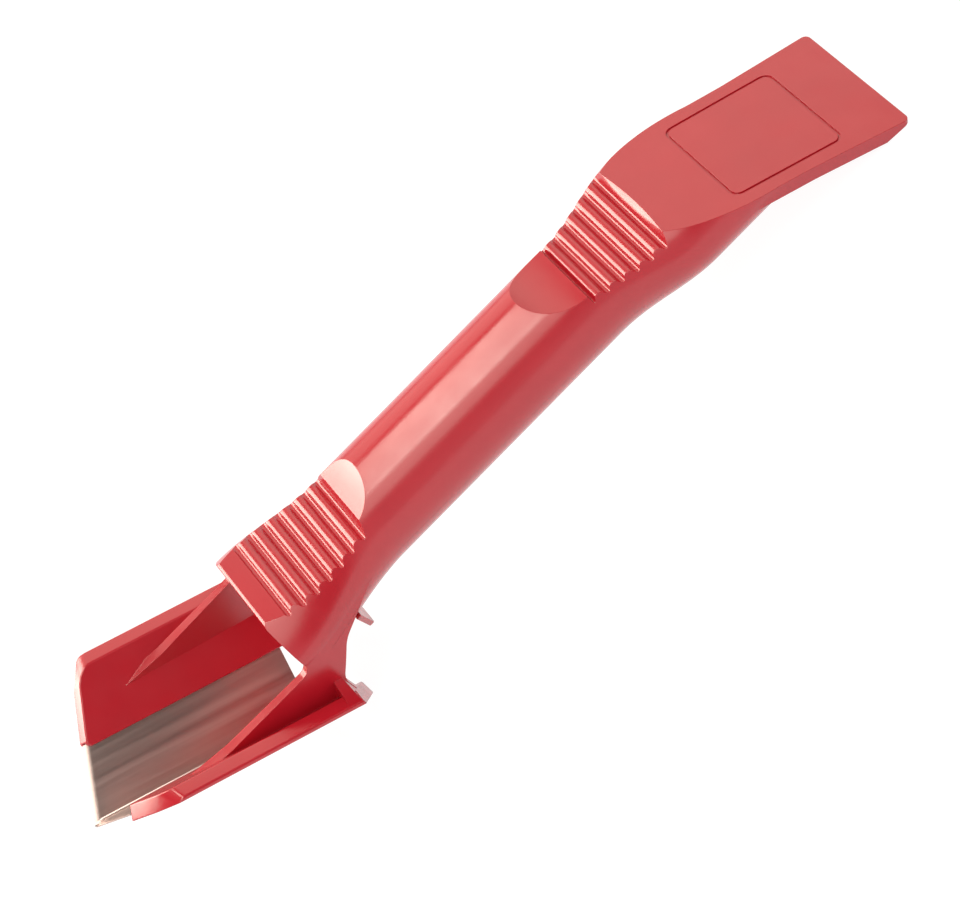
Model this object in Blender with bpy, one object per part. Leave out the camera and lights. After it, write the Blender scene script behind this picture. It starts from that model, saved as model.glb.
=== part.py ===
"""Two-ended joint scraper: a moulded tube handle with a fork that holds a V-bent steel blade
at one end and a flat plastic scraper at the other.

Everything is modelled in the tube's own frame: X runs along the tube from the fork to the
scraper, Y across it, Z towards the thumb rests, and the tube's axis is Y = Z = 0. The keel is
the line that the bent blade folds along, and two skid plates stand at 45 degrees on each side
of it. At the end an empty tips the tool on to its resting points and centres it.
Lengths are in metres and angles in radians.
"""
import math

import bmesh
import bpy
from mathutils import Matrix, Vector

# Tube handle
tube_radius = 0.0106
mouth_x = 0.0506
mouth_half_width = 0.0143
mouth_flare_length = 0.0235
mouth_side_half_width = 0.0159
mouth_side_flare_length = 0.0270
mouth_side_height_share = 0.75
flat_end_half_width = 0.0153
flat_end_flare_x = 0.1340
flat_end_flare_length = 0.0220
wall_thickness = 0.0024
bore_top_z = 0.0026
bore_end_x = 0.1460
bore_draft_share = 0.88
bore_squareness_share = 0.7

# Thumb rests: each floor is an arc along the tube, with half-round ribs across it
rib_radius = 0.00085
rib_sink = 0.00015
rib_pitch = 0.00321
fork_rest_radius = 0.0530
fork_rest_low_x = 0.0693
fork_rest_low_z = 0.0050
fork_rib_start_x = 0.0557
fork_rib_count = 7
fork_floor_end_x = 0.0759
fork_step_x = 0.0765
fork_hollow_x = 0.0827
lip_radius = 0.0009
flat_rest_radius = 0.0700
flat_rest_low_x = 0.1415
flat_rest_low_z = 0.0052
flat_rib_start_x = 0.1347
flat_rib_count = 6
flat_hollow_x = 0.1242
flat_step_x = 0.1324
flat_floor_start_x = 0.1332
step_z = 0.0075
hollow_slope = math.radians(12.0)

# Flat scraper: its face slopes down from a crest behind the second thumb rest
crest_x = 0.1520
crest_z = 0.0074
flat_angle = math.radians(23.25)
flat_length = 0.0505
flat_root = 0.0100
flat_root_half_width = 0.0142
flat_neck = 0.0180
flat_neck_half_width = 0.0151
flat_waist = 0.0300
flat_waist_half_width = 0.0153
flat_tip_half_width = 0.0165
flat_thickness = 0.0028
flat_corner_radius = 0.0012
flat_corner_steps = 3
flat_edge_thickness = 0.0007
flat_edge_bevel_length = 0.0052
panel_start = 0.0150
panel_length = 0.0236
panel_start_half_width = 0.0119
panel_end_half_width = 0.0123
panel_corner_radius = 0.0018
panel_groove_width = 0.0006
panel_groove_depth = 0.0003

# Keel: it runs down and back from the front tip of the fork
keel_angle = math.radians(26.7)
keel_drop = 0.0066
wing_angle = math.radians(45.0)

# Skid plates, measured along the keel and out from it
plate_inner_edge = 0.0124
plate_outer_edge = 0.0264
plate_inner_face = 0.0002
plate_thickness = 0.0030
plate_front_inner = 0.0037
plate_front_sweep = math.radians(20.9)
plate_front_radius = 0.0030
plate_rear_x = 0.0530
plate_chamfer = 0.0011
gusset_length = 0.0028
gusset_arm_height = 0.0206
gusset_arm_across = 0.0151

# Arms from the tube's mouth to the plates
arm_inset = 0.0001
arm_mouth_thickness = 0.0016
arm_front_thickness = 0.0024
arm_front_x = 0.0150
arm_top_z = -0.0027
arm_top_hidden_z = -0.0005
arm_root_radius = 0.0022
arm_rise_x = 0.0300
arm_rise_angle = math.radians(7.0)
arm_skirt_z = -0.0048
arm_bend_x = 0.0590
arm_bend_radius = 0.0060
arm_end_z = -0.0112
arm_end_radius = 0.0040
arm_sole = 0.0127

# Finger stop under the mouth
stop_x = 0.0624
stop_thickness = 0.0013
stop_half_width = 0.0137
stop_bottom_z = -0.0138
stop_corner_radius = 0.0052
stop_top_z = -0.0060

# Steel blade: two wings bent from one sheet, with roots that sit in the plates
blade_thickness = 0.0007
blade_depth = 0.0013
blade_length = 0.0465
blade_front_sweep = math.radians(18.6)
blade_bend_radius = 0.0012
blade_wing_width = 0.0131
blade_root_width = 0.0225
blade_root_front = 0.0095
blade_root_rear = 0.0440
blade_grind_length = 0.0014
blade_edge_thickness = 0.00015
blade_clearance = 0.0003

# Shared modelling values
overrun = 0.0040
short_overrun = 0.0004
merge_distance = 0.000001
round_sides = 48
flare_steps = 9
arc_steps = 6
smooth_angle = math.radians(30.0)

# Keel directions in the tube's frame
keel_back = Vector((math.cos(keel_angle), 0, -math.sin(keel_angle)))
keel_up = Vector((math.sin(keel_angle), 0, math.cos(keel_angle)))
keel_front = Vector((0, 0, -keel_drop))


def clear_scene():
    """Remove whatever the open file holds."""
    for item in list(bpy.data.objects):
        bpy.data.objects.remove(item, do_unlink=True)


def new_collection(name):
    """Add a collection to the scene."""
    collection = bpy.data.collections.new(name)
    bpy.context.scene.collection.children.link(collection)
    return collection


def material(name, colour, roughness, metallic):
    """A Principled material with one colour."""
    result = bpy.data.materials.new(name)
    result.use_nodes = True
    shader = result.node_tree.nodes["Principled BSDF"]
    shader.inputs["Base Color"].default_value = (*colour, 1)
    shader.inputs["Roughness"].default_value = roughness
    shader.inputs["Metallic"].default_value = metallic
    return result


def object_from(shape, name, collection):
    """Turn a bmesh into an object with its faces pointing out."""
    bmesh.ops.recalc_face_normals(shape, faces=shape.faces)
    mesh = bpy.data.meshes.new(name)
    shape.to_mesh(mesh)
    shape.free()
    item = bpy.data.objects.new(name, mesh)
    collection.objects.link(item)
    return item


def skin(rings, closed):
    """Join closed rings of equal count: end to end as a loop, or with a cap at each end."""
    shape = bmesh.new()
    loops = [[shape.verts.new(point) for point in ring] for ring in rings]
    pairs = list(zip(loops, loops[1:]))
    if closed:
        pairs.append((loops[-1], loops[0]))
    else:
        shape.faces.new(loops[0])
        shape.faces.new(loops[-1])
    count = len(loops[0])
    for near, far in pairs:
        for i in range(count):
            j = (i + 1) % count
            shape.faces.new((near[i], near[j], far[j], far[i]))
    return shape


def prism(outline, low, high, name, collection):
    """Join two placings of one flat outline: a straight or a slanted block."""
    shape = skin([[low(p) for p in outline], [high(p) for p in outline]], False)
    return object_from(shape, name, collection)


def combine(target, operation, tool, guides):
    """Apply a Boolean, and keep its tool as a hidden guide."""
    modifier = target.modifiers.new(tool.name, "BOOLEAN")
    modifier.operation = operation
    modifier.object = tool
    modifier.solver = "EXACT"
    for collection in list(tool.users_collection):
        collection.objects.unlink(tool)
    guides.objects.link(tool)
    tool.hide_render = True
    tool.display_type = "WIRE"


def arc(centre, radius, start, end):
    """Points of a flat arc from the start angle to the end angle."""
    angles = [start + (end - start) * i / arc_steps for i in range(arc_steps + 1)]
    return [Vector((centre[0] + radius * math.cos(a), centre[1] + radius * math.sin(a))) for a in angles]


def rounded(corners, steps=arc_steps):
    """An outline from (x, y, radius) corners, with an arc at each corner that has a radius."""
    result = []
    count = len(corners)
    for i, (x, y, radius) in enumerate(corners):
        here = Vector((x, y))
        if radius == 0:
            result.append(here)
            continue
        back = (Vector(corners[i - 1][:2]) - here).normalized()
        ahead = (Vector(corners[(i + 1) % count][:2]) - here).normalized()
        half = back.angle(ahead) / 2
        centre = here + (back + ahead).normalized() * (radius / math.sin(half))
        first = here + back * (radius / math.tan(half)) - centre
        last = here + ahead * (radius / math.tan(half)) - centre
        result += [centre + first.slerp(last, step / steps) * radius for step in range(steps + 1)]
    return result


def ease(share):
    """A smooth step from 0 to 1."""
    return (1 - math.cos(math.pi * min(1, max(0, share)))) / 2


def handle_half_width(x):
    """Half width of the handle's oval at a place along it."""
    mouth = ease(1 - (x - mouth_x) / mouth_flare_length)
    flat_end = ease((x - flat_end_flare_x) / flat_end_flare_length)
    wider_mouth = (mouth_half_width - tube_radius) * mouth
    wider_flat_end = (flat_end_half_width - tube_radius) * flat_end
    return tube_radius + wider_mouth + wider_flat_end


def handle_side_half_width(x):
    """Half width of the handle below its thumb rest, where the fork's arms carry on from it."""
    mouth = ease(1 - (x - mouth_x) / mouth_side_flare_length)
    return max(handle_half_width(x), tube_radius + (mouth_side_half_width - tube_radius) * mouth)


def flat_point(along, across, up):
    """A point by its distances down the scraper's face, across it and square to it."""
    x = crest_x + along * math.cos(flat_angle) + up * math.sin(flat_angle)
    z = crest_z - along * math.sin(flat_angle) + up * math.cos(flat_angle)
    return Vector((x, across, z))


def wing_point(side, along, out, up):
    """A point by its distances along the keel, out along a wing and up into the V."""
    across = Vector((0, side, 0))
    outward = keel_up * math.cos(wing_angle) + across * math.sin(wing_angle)
    inward = keel_up * math.sin(wing_angle) - across * math.cos(wing_angle)
    return keel_front + keel_back * along + outward * out + inward * up


def keel_point(along, across, height):
    """A point by its distances along the keel, across it and above it."""
    return keel_front + keel_back * along + keel_up * height + Vector((0, across, 0))


def side_block(outline, low_y, high_y, name, collection):
    """A block whose side view is an outline in X and Z."""
    return prism(outline, lambda p: Vector((p.x, low_y, p.y)), lambda p: Vector((p.x, high_y, p.y)),
                 name, collection)


def plan_block(outline, low_z, high_z, name, collection):
    """A block whose plan is an outline in X and Y."""
    return prism(outline, lambda p: Vector((p.x, p.y, low_z)), lambda p: Vector((p.x, p.y, high_z)),
                 name, collection)


def wing_block(side, along, out, up, name, collection):
    """A box on a wing, from a low and a high value in each of its directions."""
    outline = [Vector((along[i], out[j])) for i, j in ((0, 0), (1, 0), (1, 1), (0, 1))]
    return prism(outline, lambda p: wing_point(side, p.x, p.y, up[0]),
                 lambda p: wing_point(side, p.x, p.y, up[1]), name, collection)


def trim(item, point, normal):
    """Cut a closed mesh along a plane, drop the side the normal points to and close it."""
    shape = bmesh.new()
    shape.from_mesh(item.data)
    geometry = shape.verts[:] + shape.edges[:] + shape.faces[:]
    bmesh.ops.bisect_plane(shape, geom=geometry, dist=merge_distance, plane_co=point, plane_no=normal,
                           clear_outer=True)
    bmesh.ops.holes_fill(shape, edges=shape.edges[:], sides=0)
    bmesh.ops.recalc_face_normals(shape, faces=shape.faces)
    shape.to_mesh(item.data)
    shape.free()


def oval(x, half_width, half_height, middle_z, power):
    """A closed ring of an oval section, square-cornered as the power falls below 1."""
    points = []
    for i in range(round_sides):
        turn = 2 * math.pi * i / round_sides
        across = math.copysign(abs(math.cos(turn)) ** power, math.cos(turn))
        up = math.copysign(abs(math.sin(turn)) ** power, math.sin(turn))
        points.append(Vector((x, half_width * across, middle_z + half_height * up)))
    return points


def handle_ring(x):
    """A ring of the handle's outside: an oval that is wider at its sides than at its top."""
    points = []
    for i in range(round_sides):
        turn = 2 * math.pi * i / round_sides
        side = ease((mouth_side_height_share - math.sin(turn)) / mouth_side_height_share)
        half_width = handle_half_width(x) + (handle_side_half_width(x) - handle_half_width(x)) * side
        points.append(Vector((x, half_width * math.cos(turn), tube_radius * math.sin(turn))))
    return points


def flare_places(start, length):
    """Places along the handle that follow one of its flares."""
    return [start + length * i / flare_steps for i in range(flare_steps + 1)]


def handle_shell(collection):
    """The solid handle: oval sections that widen towards both ends."""
    places = flare_places(mouth_x, mouth_side_flare_length)
    places += flare_places(flat_end_flare_x, flat_end_flare_length)
    places.append(flat_point(flat_length - flat_edge_bevel_length, 0, 0).x)
    return object_from(skin([handle_ring(x) for x in places], False), "handle_body", collection)


def bore_cutter(collection):
    """The core that hollows the handle from its open mouth, with a little draft."""
    bottom_z = wall_thickness - tube_radius
    middle_z = (bore_top_z + bottom_z) / 2
    half_height = (bore_top_z - bottom_z) / 2
    rings = []
    for x in [mouth_x - overrun] + flare_places(mouth_x, mouth_flare_length):
        half_width = handle_side_half_width(x) - wall_thickness
        rings.append(oval(x, half_width, half_height, middle_z, bore_squareness_share))
    end_half_width = (tube_radius - wall_thickness) * bore_draft_share
    rings.append(oval(bore_end_x, end_half_width, half_height * bore_draft_share, middle_z,
                      bore_squareness_share))
    return object_from(skin(rings, False), "bore_cutter", collection)


def rest_height(x, low_x, low_z, radius):
    """Height of a thumb rest's floor."""
    return low_z + radius - math.sqrt(radius ** 2 - (x - low_x) ** 2)


def rib_outline(x, floor):
    """Side view of one rib on a thumb rest's floor."""
    return arc((x, floor(x) - rib_sink), rib_radius, math.pi, 0)


def hollow(low, high):
    """Side view of the hollow that ends a thumb rest: an arc that steepens as it rises."""
    square = Vector((-math.sin(hollow_slope), math.cos(hollow_slope)))
    chord = high - low
    radius = chord.length_squared / (2 * chord.dot(square))
    centre = low + square * radius
    end = math.atan2(high.y - centre.y, high.x - centre.x)
    return arc(centre, radius, hollow_slope - math.pi / 2, end)


def fork_rest_cutter(collection):
    """Everything above the thumb rest at the fork's end of the handle."""
    def floor(x):
        return rest_height(x, fork_rest_low_x, fork_rest_low_z, fork_rest_radius)
    lip_x = mouth_x + lip_radius
    lip_z = floor(lip_x) - lip_radius
    outline = [Vector((mouth_x - overrun, lip_z))]
    outline += arc((lip_x, lip_z), lip_radius, math.pi, math.pi / 2)
    for i in range(fork_rib_count):
        outline += rib_outline(fork_rib_start_x + i * rib_pitch, floor)
    outline.append(Vector((fork_floor_end_x, floor(fork_floor_end_x))))
    outline += hollow(Vector((fork_step_x, step_z)), Vector((fork_hollow_x, tube_radius)))
    outline.append(Vector((fork_hollow_x, tube_radius + overrun)))
    outline.append(Vector((mouth_x - overrun, tube_radius + overrun)))
    reach = mouth_half_width + overrun
    return side_block(outline, -reach, reach, "fork_rest_cutter", collection)


def flat_rest_cutter(collection):
    """Everything above the second thumb rest and the scraper's face."""
    def floor(x):
        return rest_height(x, flat_rest_low_x, flat_rest_low_z, flat_rest_radius)
    outline = [Vector((flat_hollow_x, tube_radius + overrun))]
    mirrored = hollow(Vector((-flat_step_x, step_z)), Vector((-flat_hollow_x, tube_radius)))
    outline += [Vector((-p.x, p.y)) for p in reversed(mirrored)]
    outline.append(Vector((flat_floor_start_x, floor(flat_floor_start_x))))
    for i in range(flat_rib_count):
        outline += rib_outline(flat_rib_start_x + i * rib_pitch, floor)
    outline.append(Vector((crest_x, crest_z)))
    far = flat_point(flat_length + overrun, 0, 0)
    outline.append(Vector((far.x, far.z)))
    outline.append(Vector((far.x, tube_radius + overrun)))
    reach = flat_tip_half_width + overrun
    return side_block(outline, -reach, reach, "flat_rest_cutter", collection)


def flat_blank(collection):
    """The flat scraper's slab, left thick above until its face is cut."""
    half = [
        (flat_root, flat_root_half_width, 0),
        (flat_neck, flat_neck_half_width, 0),
        (flat_waist, flat_waist_half_width, 0),
        (flat_length, flat_tip_half_width, flat_corner_radius),
    ]
    mirrored = [(along, -across, radius) for along, across, radius in reversed(half)]
    outline = rounded(half + mirrored, flat_corner_steps)
    return prism(outline, lambda p: flat_point(p.x, p.y, -flat_thickness),
                 lambda p: flat_point(p.x, p.y, short_overrun), "flat_blank", collection)


def flat_bevel_cutter(collection):
    """The wedge that thins the scraper's edge from below."""
    slope = (flat_thickness - flat_edge_thickness) / flat_edge_bevel_length
    start = flat_length - flat_edge_bevel_length - overrun
    end = flat_length + overrun
    corners = [
        flat_point(start, 0, -flat_thickness - slope * overrun),
        flat_point(end, 0, slope * overrun - flat_edge_thickness),
        flat_point(end, 0, -flat_thickness - overrun),
    ]
    reach = flat_tip_half_width + overrun
    return side_block([Vector((p.x, p.z)) for p in corners], -reach, reach, "flat_bevel_cutter", collection)


def panel_outline(grow):
    """The bare panel's rounded outline on the scraper's face, made larger or smaller."""
    radius = panel_corner_radius + grow
    start = panel_start - grow
    end = panel_start + panel_length + grow
    start_half = panel_start_half_width + grow
    end_half = panel_end_half_width + grow
    return rounded([(start, -start_half, radius), (end, -end_half, radius),
                    (end, end_half, radius), (start, start_half, radius)])


def panel_groove_cutter(collection):
    """A closed ring that cuts the shallow groove round the bare panel."""
    half = panel_groove_width / 2
    section = ((half, overrun), (half, -panel_groove_depth), (-half, -panel_groove_depth), (-half, overrun))
    rings = [[flat_point(p.x, p.y, up) for p in panel_outline(grow)] for grow, up in section]
    return object_from(skin(rings, True), "panel_groove_cutter", collection)


def skid_plate(side, collection):
    """A skid plate: a rounded outline, flat along its outer edge and square at its rear."""
    outer = plate_outer_edge + plate_thickness + overrun
    rear = plate_rear_x / math.cos(keel_angle) + overrun
    front_outer = plate_front_inner + (outer - plate_inner_edge) * math.tan(plate_front_sweep)
    outline = rounded([
        (rear, outer, 0), (rear, plate_inner_edge, 0),
        (plate_front_inner, plate_inner_edge, plate_front_radius), (front_outer, outer, 0),
    ])
    low = plate_inner_face - plate_thickness
    item = prism(outline, lambda p: wing_point(side, p.x, p.y, low),
                 lambda p: wing_point(side, p.x, p.y, plate_inner_face), "skid_plate", collection)
    edge_height = (plate_outer_edge + plate_inner_face) * math.cos(wing_angle)
    trim(item, keel_point(0, 0, edge_height), keel_up)
    trim(item, Vector((plate_rear_x, 0, 0)), Vector((1, 0, 0)))
    corner_across = edge_height - low / math.sin(wing_angle)
    chamfer_point = keel_point(0, side * (corner_across - plate_chamfer), edge_height)
    lean = wing_angle / 2
    trim(item, chamfer_point, keel_up * math.sin(lean) + Vector((0, side * math.cos(lean), 0)))
    return item


def arm_inner(x):
    """How far out an arm's inner face stands: its outer face carries on from the handle's side."""
    share = min(1, (x - arm_front_x) / (mouth_x - arm_front_x))
    thickness = arm_front_thickness + (arm_mouth_thickness - arm_front_thickness) * share
    return handle_side_half_width(max(x, mouth_x)) - thickness


def sole_height(x):
    """Height of the arms' lower edge, which lies inside the plates."""
    return (arm_sole - x * math.sin(keel_angle)) / math.cos(keel_angle) - keel_drop


def arm(side, collection, guides):
    """One arm of the fork: a side view and a plan shape it together."""
    run = sole_height(arm_rise_x) - arm_top_z
    front_x = arm_rise_x + run / (math.tan(keel_angle) - math.tan(arm_rise_angle))
    skirt_end_x = mouth_x + mouth_flare_length
    outline = rounded([
        (front_x, sole_height(front_x), 0),
        (arm_rise_x, arm_top_z, 0),
        (mouth_x, arm_top_z, arm_root_radius),
        (mouth_x, arm_top_hidden_z, 0),
        (skirt_end_x, arm_top_hidden_z, 0),
        (skirt_end_x, arm_skirt_z, 0),
        (arm_bend_x, arm_skirt_z, arm_bend_radius),
        (plate_rear_x, arm_end_z, arm_end_radius),
        (plate_rear_x, sole_height(plate_rear_x), 0),
    ])
    item = side_block(outline, 0, side * (mouth_side_half_width + overrun), "arm", collection)
    places = [arm_front_x] + flare_places(mouth_x, mouth_flare_length)
    outer = [Vector((x, side * (handle_side_half_width(max(x, mouth_x)) - arm_inset))) for x in places]
    inner = [Vector((x, side * arm_inner(x))) for x in places]
    plan = plan_block(outer + inner[::-1], -keel_drop - blade_length, overrun, "arm_plan", collection)
    combine(item, "INTERSECT", plan, guides)
    return item


def gusset(side, collection):
    """The web that closes the corner between an arm and its plate at the rear."""
    edge_height = (plate_outer_edge + plate_inner_face) * math.cos(wing_angle)
    sunk = plate_thickness / 2
    rear = plate_rear_x / math.cos(keel_angle) - edge_height * math.tan(keel_angle)
    outline = [
        Vector((gusset_arm_across, gusset_arm_across - sunk)),
        Vector((gusset_arm_across, gusset_arm_height)),
        Vector((edge_height + sunk / 2, edge_height - sunk / 4)),
        Vector((gusset_arm_across + sunk, gusset_arm_across)),
    ]
    item = prism(outline, lambda p: keel_point(rear - gusset_length, side * p.x, p.y),
                 lambda p: keel_point(rear + overrun, side * p.x, p.y), "gusset", collection)
    trim(item, Vector((plate_rear_x, 0, 0)), Vector((1, 0, 0)))
    return item


def finger_stop(collection):
    """The lip across the underside of the mouth."""
    outline = rounded([
        (-stop_half_width, stop_top_z, 0), (-stop_half_width, stop_bottom_z, stop_corner_radius),
        (stop_half_width, stop_bottom_z, stop_corner_radius), (stop_half_width, stop_top_z, 0),
    ])
    return prism(outline, lambda p: Vector((stop_x, p.x, p.y)),
                 lambda p: Vector((stop_x + stop_thickness, p.x, p.y)), "finger_stop", collection)


def throat_cutter(collection):
    """The opening below the mouth, between the arms and in front of the finger stop."""
    places = [mouth_x - overrun] + flare_places(mouth_x, stop_x - mouth_x)
    near = [Vector((x, arm_inner(max(x, mouth_x)))) for x in places]
    far = [Vector((p.x, -p.y)) for p in reversed(near)]
    return plan_block(near + far, -tube_radius - overrun, arm_top_z, "throat_cutter", collection)


def blade_slot(side, along, width, name, collection):
    """A pocket in a plate that takes a blade's wing or root, with clearance all round."""
    half = blade_thickness / 2 + blade_clearance
    out = (plate_inner_edge - overrun, width + blade_clearance)
    return wing_block(side, along, out, (-blade_depth - half, half - blade_depth), name, collection)


def handle_body(collection, guides):
    """The one-piece moulding."""
    body = handle_shell(collection)
    combine(body, "UNION", flat_blank(collection), guides)
    combine(body, "UNION", finger_stop(collection), guides)
    for side in (-1, 1):
        combine(body, "UNION", arm(side, collection, guides), guides)
    for cutter in (fork_rest_cutter, flat_rest_cutter, flat_bevel_cutter, panel_groove_cutter,
                   bore_cutter, throat_cutter):
        combine(body, "DIFFERENCE", cutter(collection), guides)
    root = (blade_root_front - blade_clearance, blade_root_rear + blade_clearance)
    wing = (plate_front_inner - overrun, blade_length + blade_clearance)
    for side in (-1, 1):
        combine(body, "UNION", skid_plate(side, collection), guides)
        combine(body, "UNION", gusset(side, collection), guides)
        combine(body, "DIFFERENCE", blade_slot(side, root, blade_root_width, "root_slot", collection), guides)
        combine(body, "DIFFERENCE", blade_slot(side, wing, blade_wing_width, "wing_slot", collection), guides)
    return body


def fold_centre():
    """Height of the centre of the blade's bend, from the keel."""
    return (blade_bend_radius - blade_depth - blade_thickness / 2) / math.sin(wing_angle)


def blade_blank(collection):
    """The bent sheet before its ends are cut: a V section drawn along the keel."""
    outer_face = -blade_depth - blade_thickness / 2
    inner_face = outer_face + blade_thickness

    def section_point(side, up):
        height = (blade_root_width + up) * math.cos(wing_angle)
        return Vector((side * (blade_root_width - up) * math.sin(wing_angle), height))
    centre = (0, fold_centre())
    outline = [section_point(-1, inner_face), section_point(-1, outer_face)]
    outline += arc(centre, blade_bend_radius, wing_angle - math.pi, -wing_angle)
    outline += [section_point(1, outer_face), section_point(1, inner_face)]
    outline += arc(centre, blade_bend_radius - blade_thickness, -wing_angle, wing_angle - math.pi)
    return prism(outline, lambda p: keel_point(-overrun, p.x, p.y),
                 lambda p: keel_point(blade_length, p.x, p.y), "cutting_blade", collection)


def blade_notch(side, along, collection):
    """What is cut away beside a blade's root, so that only its middle enters the plate."""
    out = (blade_wing_width, blade_root_width + overrun)
    up = (-blade_depth - overrun, overrun - blade_depth)
    return wing_block(side, along, out, up, "blade_notch", collection)


def blade_grind(side, collection):
    """The wedge ground off the inside of a wing's cutting edge."""
    inner_face = blade_thickness / 2 - blade_depth
    slope = (blade_thickness - blade_edge_thickness) / blade_grind_length
    start = inner_face - blade_thickness + blade_edge_thickness - slope * short_overrun
    top = inner_face + slope * short_overrun
    section = [Vector((-short_overrun, start)), Vector((-short_overrun, top)),
               Vector((blade_grind_length + short_overrun, top))]

    def place(out):
        along = out * math.tan(blade_front_sweep)
        return lambda p: wing_point(side, along + p.x / math.cos(blade_front_sweep), out, p.y)
    return prism(section, place(-blade_bend_radius), place(blade_wing_width + overrun), "blade_grind", collection)


def cutting_blade(collection, guides):
    """The steel blade: a V of sheet with a swept, ground front edge."""
    blade = blade_blank(collection)
    for side in (-1, 1):
        ahead = wing_point(side, -math.cos(blade_front_sweep), math.sin(blade_front_sweep), 0)
        trim(blade, keel_front, ahead - keel_front)
    for side in (-1, 1):
        front = (-overrun, blade_root_front)
        rear = (blade_root_rear, blade_length + overrun)
        combine(blade, "DIFFERENCE", blade_notch(side, front, collection), guides)
        combine(blade, "DIFFERENCE", blade_notch(side, rear, collection), guides)
        combine(blade, "DIFFERENCE", blade_grind(side, collection), guides)
    return blade


def finish(item, finish_material):
    """Fix a node's modelling, give it its material and shade its round faces smooth."""
    graph = bpy.context.evaluated_depsgraph_get()
    mesh = bpy.data.meshes.new_from_object(item.evaluated_get(graph), depsgraph=graph)
    item.modifiers.clear()
    item.data = mesh
    mesh.materials.clear()
    mesh.materials.append(finish_material)
    mesh.shade_smooth()
    mesh.set_sharp_from_angle(angle=smooth_angle)


def rest_on_ground(nodes, collection):
    """Tip the tool on to the blade's rear corner and the scraper's edge, and centre it."""
    heel = keel_point(blade_length, 0, fold_centre() - blade_bend_radius)
    toe = flat_point(flat_length, 0, -flat_edge_thickness)
    tip = Matrix.Rotation(math.atan2(toe.z - heel.z, toe.x - heel.x), 4, "Y")
    points = [tip @ v.co for node in nodes for v in node.data.vertices]
    low = [min(p[axis] for p in points) for axis in range(3)]
    high = [max(p[axis] for p in points) for axis in range(3)]
    base = Vector(((low[0] + high[0]) / 2, (low[1] + high[1]) / 2, low[2]))
    pose = bpy.data.objects.new("resting_pose", None)
    collection.objects.link(pose)
    pose.matrix_world = Matrix.Translation(-base) @ tip
    for item in bpy.data.objects:
        if item != pose:
            item.parent = pose


def build():
    """Build both pieces of the tool."""
    clear_scene()
    parts = new_collection("joint_scraper")
    guides = new_collection("cutters")
    body = handle_body(parts, guides)
    blade = cutting_blade(parts, guides)
    finish(body, material("red_plastic", (0.62, 0.02, 0.03), 0.32, 0))
    finish(blade, material("steel", (0.62, 0.62, 0.63), 0.25, 1))
    rest_on_ground([body, blade], parts)


build()
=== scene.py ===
"""Looks of the joint scraper: a red moulded handle with a steel V blade, on a white studio table.

Both pieces are modelled in millimetres in the tube's own frame: X runs along the tube from the
fork to the flat scraper, Y across it and Z towards the thumb rests. When a piece is done, it is
tipped to the resting pose and brought to metres.
"""
from __future__ import annotations

import logging
import math
from collections.abc import Callable
from dataclasses import dataclass, field
from enum import Enum

import bpy
from bpy.types import Material, Node, NodeSocket, NodeTree, Object
from mathutils import Matrix, Vector

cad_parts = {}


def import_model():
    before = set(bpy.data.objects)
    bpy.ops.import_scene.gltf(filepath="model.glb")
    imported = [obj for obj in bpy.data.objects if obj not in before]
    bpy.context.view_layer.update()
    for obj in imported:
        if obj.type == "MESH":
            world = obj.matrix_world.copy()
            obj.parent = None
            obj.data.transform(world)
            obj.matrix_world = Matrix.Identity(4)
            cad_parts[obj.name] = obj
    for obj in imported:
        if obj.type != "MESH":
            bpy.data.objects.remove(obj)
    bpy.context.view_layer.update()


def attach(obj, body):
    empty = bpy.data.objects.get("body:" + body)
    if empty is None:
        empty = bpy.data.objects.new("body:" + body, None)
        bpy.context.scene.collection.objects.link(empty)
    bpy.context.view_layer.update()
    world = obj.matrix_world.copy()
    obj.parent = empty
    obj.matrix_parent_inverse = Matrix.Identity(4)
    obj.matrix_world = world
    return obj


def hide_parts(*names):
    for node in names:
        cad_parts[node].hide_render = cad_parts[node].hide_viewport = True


LOG = logging.getLogger("joint_scraper")
Pair = tuple[float, float]
Triple = tuple[float, float, float]
METRES = 0.001
RESTING_POSE = Matrix((
    (0.994901359, 0.0, 0.100852862, -97.051322),
    (0.0, 1.0, 0.0, 0.0),
    (-0.100852862, 0.0, 0.994901359, 33.091769),
    (0.0, 0.0, 0.0, 1.0),
))


class Side(Enum):
    """The two sides of the tool, as signs of Y."""

    NEAR = -1
    FAR = 1


class Join(Enum):
    """What a Boolean does with its tool."""

    ADD = "UNION"
    CUT = "DIFFERENCE"
    KEEP_COMMON = "INTERSECT"


class SeenBy(Enum):
    """The kinds of ray that see the studio's background."""

    CAMERA = "Is Camera Ray"
    GLOSSY = "Is Glossy Ray"
    TRANSMISSION = "Is Transmission Ray"


def linear(hex_colour: str) -> tuple[float, float, float, float]:
    """Turn an sRGB hex colour to linear values.

    Args:
        hex_colour: six hex digits.

    Returns:
        Linear red, green and blue, with an alpha of 1.
    """
    values = [int(hex_colour[i:i + 2], 16) / 255 for i in (0, 2, 4)]
    red, green, blue = [v / 12.92 if v <= 0.04045 else ((v + 0.055) / 1.055) ** 2.4 for v in values]
    return (red, green, blue, 1.0)


def add_node(tree: NodeTree, kind: str, settings: dict | None = None,
             values: dict | None = None, links: dict | None = None) -> Node:
    """Add a node with its settings, its socket values and its incoming links.

    Args:
        tree: the node tree that gets the node.
        kind: the shader node's type name.
        settings: attributes of the node.
        values: default values, by input name or number.
        links: output sockets to link from, by input name or number.

    Returns:
        The new node.
    """
    node = tree.nodes.new("ShaderNode" + kind)
    for name, value in (settings or {}).items():
        setattr(node, name, value)
    for name, value in (values or {}).items():
        node.inputs[name].default_value = value
    for name, socket in (links or {}).items():
        tree.links.new(socket, node.inputs[name])
    return node


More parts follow.
